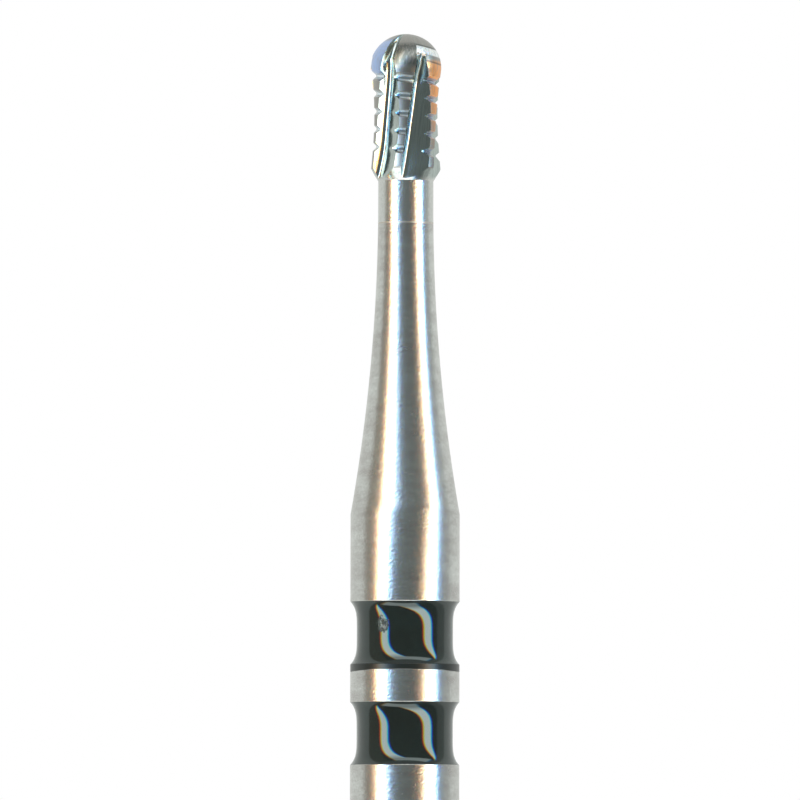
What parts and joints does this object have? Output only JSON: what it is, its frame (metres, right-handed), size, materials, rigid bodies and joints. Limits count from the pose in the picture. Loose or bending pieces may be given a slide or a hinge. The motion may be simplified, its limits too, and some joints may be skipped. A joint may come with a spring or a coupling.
{
  "type": "dental bur",
  "caption": "Friction-grip dental bur: a domed, cross-cut carbide head on a slim flared steel shank with dark colour rings.",
  "frame": {"origin": "centre of the flat end of the shank", "axes": "+Z along the bur's axis from the shank to the tip; -Y is the side that the picture shows"},
  "size_m": [0.0016, 0.0016, 0.019],
  "materials": {
    "carbide": "ground tungsten carbide",
    "braze": "thin braze line, ground flush",
    "steel": "fine circumferential grinding",
    "lacquer": "glossy dark lacquer"
  },
  "bodies": {
    "root": {"cutting_head": "carbide", "braze_joint": "braze", "shank": "steel", "colour_ring_upper": "lacquer", "colour_ring_lower": "lacquer"}
  },
  "joints": []
}
